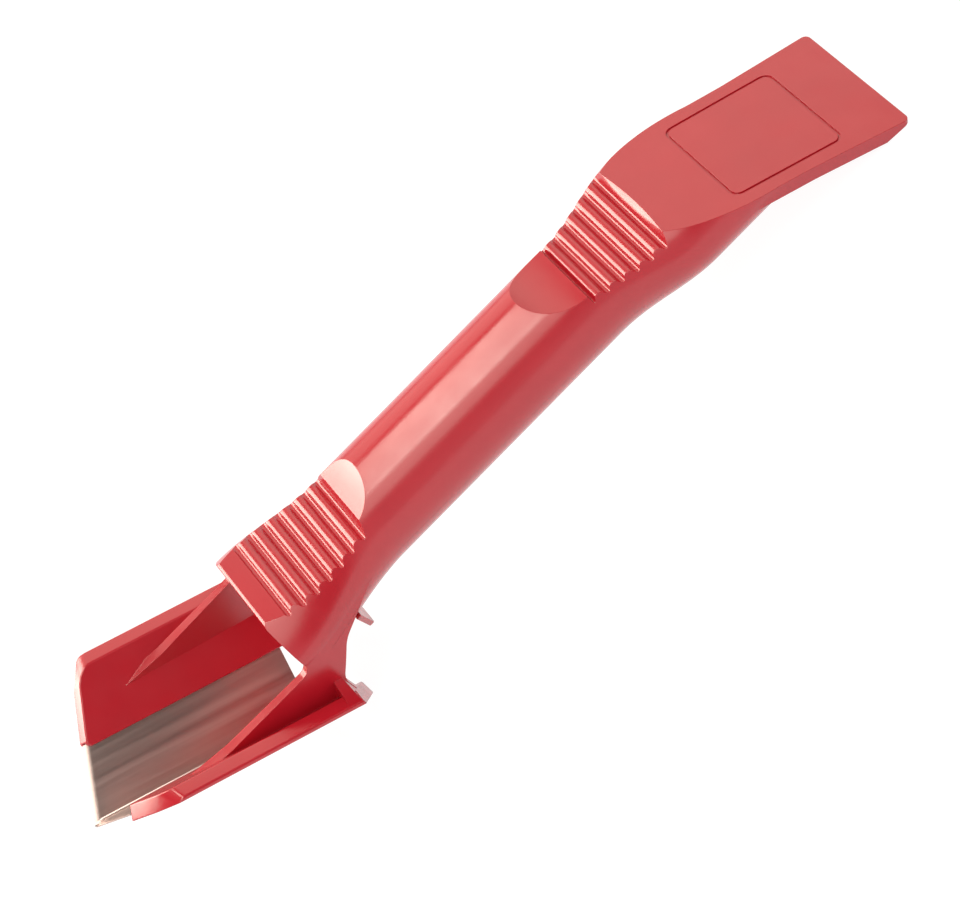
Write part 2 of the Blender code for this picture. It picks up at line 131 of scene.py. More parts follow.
def select_only(item: Object) -> None:
    """Make one object the only selected and the active one."""
    bpy.ops.object.select_all(action="DESELECT")
    item.select_set(True)
    bpy.context.view_layer.objects.active = item


def apply_modifier(item: Object, kind: str, settings: dict) -> None:
    """Add a modifier to an object and apply it at once.

    Args:
        item: the object.
        kind: the modifier's type name.
        settings: attributes of the modifier.
    """
    select_only(item)
    bpy.ops.object.modifier_add(type=kind)
    modifier = item.modifiers[-1]
    for name, value in settings.items():
        setattr(modifier, name, value)
    bpy.ops.object.modifier_apply(modifier=modifier.name)


def combine(item: Object, join: Join, tool: Object) -> None:
    """Apply a Boolean to an object and remove its tool.

    Args:
        item: the object that changes.
        join: what the tool does to it.
        tool: the tool.
    """
    apply_modifier(item, "BOOLEAN", {"operation": join.value, "object": tool, "solver": "EXACT"})
    bpy.data.objects.remove(tool)


def soften(item: Object, width: float) -> None:
    """Round every sharp edge of a plain solid by a width."""
    apply_modifier(item, "BEVEL", {"width": width, "segments": 3, "limit_method": "ANGLE",
                                   "angle_limit": math.radians(32), "use_clamp_overlap": True})


def drawn_face(name: str, outline: list[Vector]) -> Object:
    """Draw a flat face: a circle primitive whose corners are moved on to an outline.

    Args:
        name: the new object's name.
        outline: the corners in order.

    Returns:
        The object, with one face.
    """
    bpy.ops.object.select_all(action="DESELECT")
    bpy.ops.mesh.primitive_circle_add(vertices=len(outline), radius=1.0, fill_type="NGON")
    item = bpy.context.active_object
    item.name = name
    for vertex, point in zip(item.data.vertices, outline):
        vertex.co = point
    return item


def extrude(item: Object, steps: list[Vector]) -> None:
    """Extrude an object's one face step by step to a closed solid.

    Args:
        item: the object.
        steps: how far and which way each step goes.
    """
    bpy.ops.object.mode_set(mode="EDIT")
    bpy.ops.mesh.select_all(action="SELECT")
    for step in steps:
        bpy.ops.mesh.extrude_region_move(TRANSFORM_OT_translate={"value": step})
    bpy.ops.mesh.select_all(action="SELECT")
    bpy.ops.mesh.normals_make_consistent(inside=False)
    bpy.ops.object.mode_set(mode="OBJECT")


def prism(name: str, outline: list[Vector], sweep: Vector) -> Object:
    """Draw a face and extrude it to a solid.

    Args:
        name: the new object's name.
        outline: the face's corners in order.
        sweep: how far and which way it is extruded.

    Returns:
        The solid.
    """
    item = drawn_face(name, outline)
    extrude(item, [sweep])
    return item


def loft(name: str, sides: int, places: list[float],
         law: Callable[[float, float], Vector]) -> Object:
    """Extrude a circle along X through several places, then shape each ring by a law.

    Args:
        name: the new object's name.
        sides: corners of a ring.
        places: where the rings stand along X.
        law: gives a point from its place along X and its turn round it.

    Returns:
        The closed solid.
    """
    turns = [2 * math.pi * i / sides for i in range(sides)]
    item = drawn_face(name, [Vector((places[0], math.cos(t), math.sin(t))) for t in turns])
    extrude(item, [Vector((there - here, 0, 0)) for here, there in zip(places, places[1:])])
    for vertex in item.data.vertices:
        vertex.co = law(vertex.co.x, math.atan2(vertex.co.z, vertex.co.y))
    return item


def trim(item: Object, point: Vector, normal: Vector) -> None:
    """Cut a closed solid along a plane and close it.

    Args:
        item: the solid.
        point: a point on the plane.
        normal: points to the part that goes.
    """
    select_only(item)
    bpy.ops.object.mode_set(mode="EDIT")
    bpy.ops.mesh.select_all(action="SELECT")
    bpy.ops.mesh.bisect(plane_co=point, plane_no=normal, use_fill=True, clear_outer=True)
    bpy.ops.object.mode_set(mode="OBJECT")


def spread(start: float, length: float, steps: int) -> list[float]:
    """Evenly spaced places from a start over a length."""
    return [start + length * i / steps for i in range(steps + 1)]


def rectangle(across: Pair, up: Pair) -> list[Pair]:
    """The corners of a rectangle in order, from a low and a high value each way."""
    return [(across[i], up[j]) for i, j in ((0, 0), (1, 0), (1, 1), (0, 1))]


def arc(centre: Pair, radius: float, start: float, end: float,
        steps: int = 12) -> list[Vector]:
    """Points of a flat arc.

    Args:
        centre: its centre.
        radius: its radius.
        start: the first angle.
        end: the last angle.
        steps: how many chords it has.

    Returns:
        The points in order.
    """
    turns = spread(start, end - start, steps)
    return [Vector((centre[0] + radius * math.cos(t), centre[1] + radius * math.sin(t))) for t in turns]


def rounded(corners: list[Triple], steps: int = 8) -> list[Vector]:
    """An outline from corners, with an arc at each corner that has a radius.

    Args:
        corners: x, y and radius of each corner.
        steps: how many chords an arc has.

    Returns:
        The outline's points in order.
    """
    result: list[Vector] = []
    count = len(corners)
    for i, (x, y, radius) in enumerate(corners):
        here = Vector((x, y))
        if radius == 0:
            result.append(here)
            continue
        behind = (Vector(corners[i - 1][:2]) - here).normalized()
        ahead = (Vector(corners[(i + 1) % count][:2]) - here).normalized()
        half = behind.angle(ahead) / 2
        centre = here + (behind + ahead).normalized() * (radius / math.sin(half))
        first = here + behind * (radius / math.tan(half)) - centre
        last = here + ahead * (radius / math.tan(half)) - centre
        result += [centre + first.slerp(last, step / steps) * radius for step in range(steps + 1)]
    return result


def ease(share: float) -> float:
    """A smooth step from 0 to 1."""
    return (1 - math.cos(math.pi * min(1.0, max(0.0, share)))) / 2


def side_prism(name: str, outline: list[Vector], low_y: float, high_y: float) -> Object:
    """A solid whose side view is an outline in X and Z."""
    return prism(name, [Vector((p.x, low_y, p.y)) for p in outline], Vector((0, high_y - low_y, 0)))


def plan_prism(name: str, outline: list[Vector], low_z: float, high_z: float) -> Object:
    """A solid whose plan is an outline in X and Y."""
    return prism(name, [Vector((p.x, p.y, low_z)) for p in outline], Vector((0, 0, high_z - low_z)))


def dress(item: Object, material: Material, smooth_degrees: float) -> None:
    """Tip a finished piece to the resting pose in metres, shade it and give it its material.

    Args:
        item: the piece, which is left at the origin.
        material: its material.
        smooth_degrees: the angle up to which edges are shaded smooth.
    """
    select_only(item)
    item.matrix_world = Matrix.Scale(METRES, 4) @ RESTING_POSE
    bpy.ops.object.transform_apply(location=True, rotation=True, scale=True)
    bpy.ops.object.shade_smooth_by_angle(angle=math.radians(smooth_degrees))
    apply_modifier(item, "WEIGHTED_NORMAL", {"keep_sharp": True, "weight": 80})
    item.data.materials.clear()
    item.data.materials.append(material)


def blank_material(name: str) -> tuple[Material, NodeTree, Node]:
    """Make a material with nodes.

    Args:
        name: its name.

    Returns:
        The material, its node tree and its shader.
    """
    result = bpy.data.materials.new(name)
    result.use_nodes = True
    return result, result.node_tree, result.node_tree.nodes["Principled BSDF"]


@dataclass(frozen=True)
class MouldedPolypropylene:
    """Pigmented polypropylene, injection moulded in a polished tool.

    The eye sees a deep red with soft flow mottling, a sheen that handling has made a little
    uneven, a faint orange-peel waviness, softened edges and the hairline where the mould's
    halves met.
    """

    name: str = "moulded_polypropylene_red"
    body: str = "bc1a29"
    deep: str = "ae1625"
    mottle_mm: float = 14.0
    scuff_mm: float = 5.0
    scuff_span: Pair = (0.15, 0.85)
    polished_roughness: float = 0.18
    worn_roughness: float = 0.28
    ior: float = 1.68
    edge_radius_mm: float = 0.12
    peel_mm: float = 1.3
    peel_depth_mm: float = 0.01
    peel_strength: float = 0.12
    parting_height_mm: float = -3.0
    parting_span_mm: Pair = (56.0, 152.0)
    parting_width_mm: float = 0.16
    parting_depth_mm: float = 0.06
    parting_strength: float = 0.8

    def distance(self, tree: NodeTree, place: NodeSocket, direction: Vector,
                 origin: Vector) -> NodeSocket:
        """How far a point lies from a plane of the tube's frame.

        Args:
            tree: the node tree that gets the nodes.
            place: object coordinates.
            direction: the plane's normal in the tube's frame.
            origin: a point on the plane, in millimetres in the tube's frame.

        Returns:
            A socket with the distance in metres, never below zero.
        """
        normal = RESTING_POSE.to_3x3() @ direction
        level = (RESTING_POSE @ origin).dot(normal) * METRES
        height = add_node(tree, "VectorMath", {"operation": "DOT_PRODUCT"},
                          {1: normal}, {0: place})
        gap = add_node(tree, "Math", {"operation": "SUBTRACT"},
                       {1: level}, {0: height.outputs["Value"]})
        size = add_node(tree, "Math", {"operation": "ABSOLUTE"}, links={0: gap.outputs[0]})
        return size.outputs[0]

    def parting_line(self, tree: NodeTree, place: NodeSocket) -> NodeSocket:
        """Height of the hairline along the tube's sides, where the mould's halves met.

        Args:
            tree: the node tree that gets the nodes.
            place: object coordinates.

        Returns:
            A socket that is 1 on the line and 0 away from it.
        """
        middle = Vector((sum(self.parting_span_mm) / 2, 0, self.parting_height_mm))
        reach = (self.parting_span_mm[1] - middle.x) * METRES
        away = self.distance(tree, place, Vector((0, 0, 1)), middle)
        line = add_node(tree, "MapRange",
                        values={"From Min": 0.0, "From Max": self.parting_width_mm * METRES / 2,
                                "To Min": 1.0, "To Max": 0.0}, links={"Value": away})
        along = self.distance(tree, place, Vector((1, 0, 0)), middle)
        near = add_node(tree, "Math", {"operation": "LESS_THAN"}, {1: reach}, {0: along})
        return add_node(tree, "Math", {"operation": "MULTIPLY"},
                        links={0: line.outputs["Result"], 1: near.outputs[0]}).outputs[0]

    def material(self) -> Material:
        """Build the plastic's node material.

        Returns:
            The material.
        """
        result, tree, shader = blank_material(self.name)
        place = add_node(tree, "TexCoord").outputs["Object"]
        mottle, scuffs, peel = [
            add_node(tree, "TexNoise", values={"Scale": 1 / (size * METRES), "Detail": detail},
                     links={"Vector": place}).outputs["Fac"]
            for size, detail in ((self.mottle_mm, 3.0), (self.scuff_mm, 4.0), (self.peel_mm, 2.0))]
        colour = add_node(tree, "Mix", {"data_type": "RGBA"},
                          {"A": linear(self.deep), "B": linear(self.body)}, {"Factor": mottle})
        tree.links.new(colour.outputs["Result"], shader.inputs["Base Color"])
        gloss = add_node(tree, "MapRange",
                         values={"From Min": self.scuff_span[0], "From Max": self.scuff_span[1],
                                 "To Min": self.polished_roughness, "To Max": self.worn_roughness},
                         links={"Value": scuffs})
        tree.links.new(gloss.outputs["Result"], shader.inputs["Roughness"])
        edges = add_node(tree, "Bevel", {"samples": 12},
                         {"Radius": self.edge_radius_mm * METRES})
        skin = add_node(tree, "Bump",
                        values={"Strength": self.peel_strength, "Distance": self.peel_depth_mm * METRES},
                        links={"Height": peel, "Normal": edges.outputs["Normal"]})
        parting = add_node(
            tree, "Bump",
            values={"Strength": self.parting_strength, "Distance": self.parting_depth_mm * METRES},
            links={"Height": self.parting_line(tree, place), "Normal": skin.outputs["Normal"]})
        tree.links.new(parting.outputs["Normal"], shader.inputs["Normal"])
        shader.inputs["IOR"].default_value = self.ior
        return result


@dataclass(frozen=True)
class RolledSteel:
    """Cold-rolled spring steel sheet.

    The eye sees a bright, slightly soft mirror with soft rolling lines along the fold. Real
    rolling lines are too fine to show, so they are drawn coarser. Both colours are tinted warm
    pink, which is a painted reflection of the red plastic round the blade and not the steel's own colour.
    """

    name: str = "rolled_steel"
    # bright and dull are the rolling lines' two tones, both tinted pink as a painted reflection of the red
    # plastic
    bright: str = "ead8d2"
    dull: str = "ccb6af"
    line_mm: float = 1.2
    line_stretch: float = 40.0
    line_slope: float = math.radians(32.5)
    line_span: Pair = (0.3, 0.7)
    smooth_roughness: float = 0.3
    rough_roughness: float = 0.38

    def material(self) -> Material:
        """Build the steel's node material.

        Returns:
            The material.
        """
        result, tree, shader = blank_material(self.name)
        place = add_node(tree, "TexCoord").outputs["Object"]
        along = add_node(tree, "Mapping", {"vector_type": "TEXTURE"},
                         {"Rotation": (0.0, self.line_slope, 0.0), "Scale": (self.line_stretch, 1.0, 1.0)},
                         {"Vector": place})
        lines = add_node(tree, "TexNoise",
                         values={"Scale": 1 / (self.line_mm * METRES), "Detail": 4.0},
                         links={"Vector": along.outputs["Vector"]}).outputs["Fac"]
        # the line pattern mixes two tones that carry a painted pink reflection of the red plastic
        colour = add_node(tree, "Mix", {"data_type": "RGBA"},
                          {"A": linear(self.dull), "B": linear(self.bright)}, {"Factor": lines})
        tree.links.new(colour.outputs["Result"], shader.inputs["Base Color"])
        gloss = add_node(tree, "MapRange",
                         values={"From Min": self.line_span[0], "From Max": self.line_span[1],
                                 "To Min": self.smooth_roughness, "To Max": self.rough_roughness},
                         links={"Value": lines})
        tree.links.new(gloss.outputs["Result"], shader.inputs["Roughness"])
        shader.inputs["Metallic"].default_value = 1.0
        return result


@dataclass(frozen=True)
class Keel:
    """The line that the blade folds along, and the wings that stand at 45 degrees on each side.

    The skid plates start at plate_inner, measured out along a wing.
    """

    angle: float = math.radians(26.7)
    drop: float = 6.6
    wing: float = math.radians(45)
    plate_inner: float = 12.4

    @property
    def back(self) -> Vector:
        """Direction along the keel, towards the tube."""
        return Vector((math.cos(self.angle), 0, -math.sin(self.angle)))

    @property
    def up(self) -> Vector:
        """Direction square to the keel, into the V."""
        return Vector((math.sin(self.angle), 0, math.cos(self.angle)))

    @property
    def front(self) -> Vector:
        """The keel's front tip."""
        return Vector((0, 0, -self.drop))

    def point(self, along: float, across: float, height: float) -> Vector:
        """A point by its distances along the keel, across it and above it."""
        return self.front + self.back * along + self.up * height + Vector((0, across, 0))

    def direction(self, side: Side, along: float, out: float, inward: float) -> Vector:
        """A direction by its parts.

        Args:
            side: which wing it is on.
            along: the part along the keel.
            out: the part out along the wing.
            inward: the part square to the wing, into the V.

        Returns:
            The sum of the parts.
        """
        across = Vector((0, side.value, 0))
        outward = self.up * math.cos(self.wing) + across * math.sin(self.wing)
        inner = self.up * math.sin(self.wing) - across * math.cos(self.wing)
        return self.back * along + outward * out + inner * inward

    def wing_point(self, side: Side, along: float, out: float, inward: float) -> Vector:
        """A point by its distances along the keel, out along a wing and into the V."""
        return self.front + self.direction(side, along, out, inward)

    def wing_box(self, name: str, side: Side, along: Pair, out: Pair,
                 inward: Pair) -> Object:
        """A box on a wing, from a low and a high value in each direction."""
        outline = [self.wing_point(side, a, o, inward[0]) for a, o in rectangle(along, out)]
        return prism(name, outline, self.direction(side, 0, 0, inward[1] - inward[0]))


@dataclass(frozen=True)
class ThumbRest:
    """A thumb rest: a floor that is an arc, a row of ribs and a hollow that climbs to the tube's top.

    The first valley's bottom is at rib_x. The hollow leaves hollow_low at hollow_slope and ends at
    hollow_top_x.
    """

    floor_x: float
    floor_z: float
    floor_radius: float
    rib_x: float
    rib_count: int
    hollow_low: Pair
    hollow_slope: float
    hollow_top_x: float

    def floor(self, x: float) -> float:
        """Height of the floor at a place along the tube."""
        return self.floor_z + self.floor_radius - math.sqrt(self.floor_radius ** 2 - (x - self.floor_x) ** 2)


@dataclass
class TubeHandle:
    """The hollow tube with a thumb rest sunk in each end."""

    radius: float = 10.6
    mouth_x: float = 50.6
    mouth_half_width: float = 14.3
    mouth_flare: float = 23.5
    mouth_side_half_width: float = 15.9
    mouth_side_flare: float = 27.0
    flat_end_half_width: float = 15.3
    flat_end_x: float = 134.0
    flat_end_flare: float = 22.0
    wall: float = 2.4
    bore_top: float = 2.6
    bore_end_x: float = 146.0
    bore_draft: float = 0.88
    bore_squareness: float = 0.7
    rib_pitch: float = 3.21
    rib_height: float = 0.7
    rib_slope: float = math.radians(62)
    valley_radius: float = 0.66
    lip: float = 0.9
    mouth_rest: ThumbRest = ThumbRest(
        floor_x=69.3, floor_z=5.0, floor_radius=53.0, rib_x=55.5, rib_count=6,
        hollow_low=(76.5, 7.5), hollow_slope=math.radians(12), hollow_top_x=82.7)
    flat_end_rest: ThumbRest = ThumbRest(
        floor_x=141.5, floor_z=5.2, floor_radius=70.0, rib_x=134.35, rib_count=5,
        hollow_low=(134.2, 6.7), hollow_slope=math.radians(3), hollow_top_x=124.3)
    side_height_share: float = 0.75
    sides: int = 144
    flare_steps: int = 24
    valley_steps: int = 10
    crest_steps: int = 12
    overrun: float = 4.0

    def half_width(self, x: float) -> float:
        """Half width of the tube's top at a place along it."""
        mouth = ease(1 - (x - self.mouth_x) / self.mouth_flare)
        flat_end = ease((x - self.flat_end_x) / self.flat_end_flare)
        return (self.radius + (self.mouth_half_width - self.radius) * mouth
                + (self.flat_end_half_width - self.radius) * flat_end)

    def side_half_width(self, x: float) -> float:
        """Half width of the tube's sides, where the fork's arms carry on from them."""
        mouth = ease(1 - (x - self.mouth_x) / self.mouth_side_flare)
        return max(self.half_width(x), self.radius + (self.mouth_side_half_width - self.radius) * mouth)

    def skin_point(self, x: float, turn: float) -> Vector:
        """A point of the tube's skin, whose sides widen more than its top.

        Args:
            x: its place along the tube.
            turn: its turn round the tube.

        Returns:
            The point.
        """
        side = ease((self.side_height_share - math.sin(turn)) / self.side_height_share)
        half = self.half_width(x) + (self.side_half_width(x) - self.half_width(x)) * side
        return Vector((x, half * math.cos(turn), self.radius * math.sin(turn)))

    def shell(self, end_x: float) -> Object:
        """The solid tube from its mouth to a place under the flat scraper.

        Args:
            end_x: where the tube ends.

        Returns:
            The tube.
        """
        places = spread(self.mouth_x, self.mouth_side_flare, self.flare_steps)
        places += spread(self.flat_end_x, self.flat_end_flare, self.flare_steps) + [end_x]
        return loft("tube", self.sides, places, self.skin_point)

    def bore_point(self, x: float, turn: float) -> Vector:
        """A point of the bore, whose squarish section shrinks with the draft.

        Args:
            x: its place along the tube.
            turn: its turn round the tube.

        Returns:
            The point.
        """
        middle = (self.bore_top + self.wall - self.radius) / 2
        half_height = (self.bore_top - self.wall + self.radius) / 2
        flare_end = self.mouth_x + self.mouth_flare
        draft = 1 - (1 - self.bore_draft) * max(0.0, (x - flare_end) / (self.bore_end_x - flare_end))
        half = (self.side_half_width(min(x, flare_end)) - self.wall) * draft
        across = math.copysign(abs(math.cos(turn)) ** self.bore_squareness, math.cos(turn))
        up = math.copysign(abs(math.sin(turn)) ** self.bore_squareness, math.sin(turn))
        return Vector((x, half * across, middle + half_height * draft * up))

    def bore(self) -> Object:
        """The core that hollows the tube from its mouth."""
        places = [self.mouth_x - self.overrun] + spread(self.mouth_x, self.mouth_flare, self.flare_steps)
        return loft("bore", self.sides // 2, places + [self.bore_end_x], self.bore_point)

    def hollow(self, rest: ThumbRest) -> list[Vector]:
        """Side view of the hollow that ends a thumb rest: an arc that steepens as it rises.

        Args:
            rest: the thumb rest.

        Returns:
            The arc's points from its lower end up.
        """
        way = math.copysign(1, rest.hollow_top_x - rest.hollow_low[0])
        low = Vector((way * rest.hollow_low[0], rest.hollow_low[1]))
        high = Vector((way * rest.hollow_top_x, self.radius))
        square = Vector((-math.sin(rest.hollow_slope), math.cos(rest.hollow_slope)))
        chord = high - low
        radius = chord.length_squared / (2 * chord.dot(square))
        centre = low + square * radius
        end = math.atan2(high.y - centre.y, high.x - centre.x)
        points = arc((centre.x, centre.y), radius, rest.hollow_slope - math.pi / 2, end)
        return [Vector((way * p.x, p.y)) for p in points]

    def ribs(self, rest: ThumbRest, first_slope: float) -> list[Vector]:
        """Side view of a row of ribs: a wave whose crests and valleys are arcs that meet smoothly.

        Args:
            rest: the thumb rest, with a valley before each rib and one after the last.
            first_slope: the slope that the first valley starts with.

        Returns:
            The outline's points in order.
        """
        slope = self.rib_slope
        crest_radius = self.rib_pitch / 2 / math.sin(slope) - self.valley_radius
        bottom = self.rib_height - (crest_radius + self.valley_radius) * (1 - math.cos(slope))
        result: list[Vector] = []
        for i in range(rest.rib_count + 1):
            valley_x = rest.rib_x + i * self.rib_pitch
            entry = first_slope if i == 0 else -slope
            for turn in spread(entry, slope - entry, self.valley_steps):
                x = valley_x + self.valley_radius * math.sin(turn)
                rise = self.valley_radius * (1 - math.cos(turn))
                result.append(Vector((x, rest.floor(x) + bottom + rise)))
            for turn in spread(-slope, 2 * slope, self.crest_steps)[1:-1] if i < rest.rib_count else []:
                x = valley_x + self.rib_pitch / 2 + crest_radius * math.sin(turn)
                drop = crest_radius * (1 - math.cos(turn))
                result.append(Vector((x, rest.floor(x) + self.rib_height - drop)))
        return result

    def fork_rest(self) -> Object:
        """Everything above the thumb rest at the mouth, whose last valley climbs to the hollow.

        Returns:
            The cutter.
        """
        rest = self.mouth_rest
        front_x = self.mouth_x - self.overrun
        lip_x = self.mouth_x + self.lip
        lip_z = rest.floor(lip_x) - self.lip
        outline = [Vector((front_x, lip_z))]
        outline += arc((lip_x, lip_z), self.lip, math.pi, math.pi / 2)
        outline += self.ribs(rest, -self.rib_slope)
        outline += self.hollow(rest)
        outline += [Vector((x, self.radius + self.overrun)) for x in (rest.hollow_top_x, front_x)]
        reach = self.mouth_half_width + self.overrun
        return side_prism("fork_rest", outline, -reach, reach)

    def flat_rest(self, crest: Vector, tip: Vector) -> Object:
        """Everything above the second thumb rest, whose hollow drops to the ribs, and above the face.

        Args:
            crest: where the scraper's face starts.
            tip: a place past the face's far end.

        Returns:
            The cutter.
        """
        rest = self.flat_end_rest
        outline = [Vector((rest.hollow_top_x, self.radius + self.overrun))]
        outline += reversed(self.hollow(rest))
        outline += self.ribs(rest, 0.0)
        outline += [crest, tip, Vector((tip.x, self.radius + self.overrun))]
        reach = self.flat_end_half_width + 2 * self.overrun
        return side_prism("flat_rest", outline, -reach, reach)


@dataclass
class FlatScraper:
    """The flat scraper with its chisel edge and the groove round its bare panel.

    Each pair of flanks is a distance down the face and the half width there.
    """

    crest: Vector = field(default_factory=lambda: Vector((152.0, 7.4)))
    angle: float = math.radians(23.25)
    length: float = 50.5
    thickness: float = 2.8
    spare_thickness: float = 0.4
    flanks: tuple[Pair, ...] = ((10.0, 14.2), (18.0, 15.1), (30.0, 15.3))
    tip_half_width: float = 16.5
    tip_corner: float = 1.2
    edge_thickness: float = 0.7
    edge_bevel: float = 5.2
    panel_start: float = 15.0
    panel_start_half_width: float = 11.9
    panel_end: float = 38.6
    panel_end_half_width: float = 12.3
    panel_corner: float = 1.8
    groove_width: float = 0.5
    groove_depth: float = 0.3
    groove_overrun: float = 1.0
    facet_x: float = 150.4
    facet_length: float = 2.2
    facet_half_chord: float = 12.6
    facet_bulge: float = 1.6
    facet_slope: float = math.radians(33)
    overrun: float = 4.0

    def point(self, along: float, across: float, up: float) -> Vector:
        """A point by its distances down the face, across it and square to it."""
        x = self.crest.x + along * math.cos(self.angle) + up * math.sin(self.angle)
        z = self.crest.y - along * math.sin(self.angle) + up * math.cos(self.angle)
        return Vector((x, across, z))

    def square(self, distance: float) -> Vector:
        """A step square to the face."""
        return self.point(0, 0, distance) - self.point(0, 0, 0)

    def slab(self) -> Object:
        """The scraper's slab, left a little thick above until its face is cut.

        Returns:
            The slab.
        """
        half = [(along, across, 0.0) for along, across in self.flanks]
        half.append((self.length, self.tip_half_width, self.tip_corner))
        mirrored = [(along, -across, radius) for along, across, radius in reversed(half)]
        outline = [self.point(p.x, p.y, -self.thickness) for p in rounded(half + mirrored)]
        return prism("slab", outline, self.square(self.thickness + self.spare_thickness))

    def crest_cutter(self) -> Object:
        """The sloped facet between the last rib and the face, which ends in an arc on the face.

        Returns:
            The cutter.
        """
        half, reach = self.facet_half_chord, 2 * self.overrun
        radius = (half ** 2 + self.facet_bulge ** 2) / (2 * self.facet_bulge)
        rim_x = self.facet_x + self.facet_length
        slope = Vector((math.cos(self.facet_slope), 0, math.sin(self.facet_slope)))
        level = self.crest.y - (rim_x - self.crest.x) * math.tan(self.angle)
        end = math.asin(half / radius)
        rim = arc((rim_x - radius, 0.0), radius, -end, end, steps=24)
        rim += [Vector((rim[-1].x - reach, half)), Vector((rim[0].x - reach, -half))]
        item = prism("crest_facet", [Vector((p.x, p.y, level)) - slope * self.overrun for p in rim],
                     slope * reach)
        keep = rectangle((self.facet_x, self.facet_x + reach), (0.0, 2 * self.crest.y))
        side = side_prism("crest_side", [Vector(corner) for corner in keep], -2 * half, 2 * half)
        combine(item, Join.KEEP_COMMON, side)
        return item

    def bevel_cutter(self) -> Object:
        """The wedge that thins the scraper's edge from below.

        Returns:
            The cutter.
        """
        slope = (self.thickness - self.edge_thickness) / self.edge_bevel
        start = self.length - self.edge_bevel - self.overrun
        end = self.length + self.overrun
        corners = [self.point(start, 0, -self.thickness - slope * self.overrun),
                   self.point(end, 0, slope * self.overrun - self.edge_thickness),
                   self.point(end, 0, -self.thickness - self.overrun)]
        reach = self.tip_half_width + self.overrun
        return side_prism("edge_bevel", [Vector((p.x, p.z)) for p in corners], -reach, reach)

    def panel(self, grow: float) -> list[Vector]:
        """The bare panel's rounded outline, made larger or smaller.

        Args:
            grow: how much larger it is on each side.

        Returns:
            The outline's points in order.
        """
        start = (self.panel_start - grow, self.panel_start_half_width + grow)
        end = (self.panel_end + grow, self.panel_end_half_width + grow)
        corners = ((start, -1), (end, -1), (end, 1), (start, 1))
        return rounded([(along, sign * half, self.panel_corner + grow) for (along, half), sign in corners])

    def groove_cutter(self) -> Object:
        """A frame-shaped cutter for the shallow groove round the bare panel.

        Returns:
            The cutter.
        """
        half = self.groove_width / 2
        outer = prism("groove", [self.point(p.x, p.y, -self.groove_depth) for p in self.panel(half)],
                      self.square(self.groove_depth + self.overrun))
        inner = prism("groove_core", [self.point(p.x, p.y, -self.groove_overrun) for p in self.panel(-half)],
                      self.square(2 * self.groove_overrun + self.overrun))
        combine(outer, Join.CUT, inner)
        return outer


